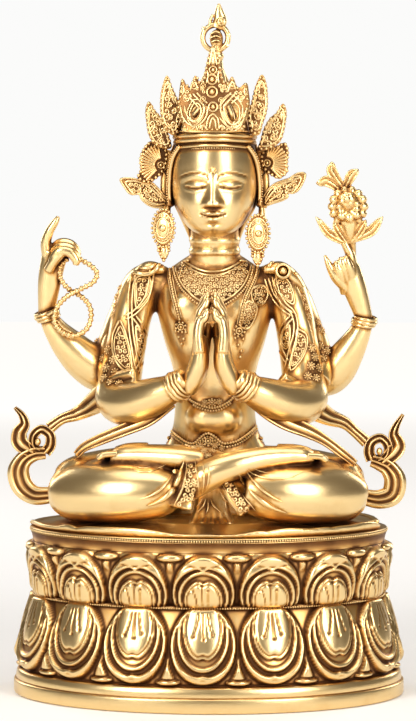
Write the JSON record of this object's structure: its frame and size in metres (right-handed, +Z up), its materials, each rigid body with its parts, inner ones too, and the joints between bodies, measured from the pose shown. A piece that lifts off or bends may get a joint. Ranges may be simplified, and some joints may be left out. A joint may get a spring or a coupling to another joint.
{
  "type": "seated four-armed avalokiteshvara statue on a lotus pedestal",
  "caption": "Cast brass seated bodhisattva with joined and raised hands, crown, rosary, lotus spray and scrolling scarves, on an oval double lotus pedestal.",
  "frame": {"origin": "middle of the pedestal's flat underside", "axes": "+Z up, the figure faces -Y, +X to the viewer's right"},
  "size_m": [0.3058, 0.2094, 0.5299],
  "materials": {
    "cast_brass": "lost-wax cast brass, polished on the heights, with brown patina left in the recesses"
  },
  "bodies": {
    "root": {"figure": "cast_brass", "lotus_pedestal": "cast_brass"}
  },
  "joints": []
}
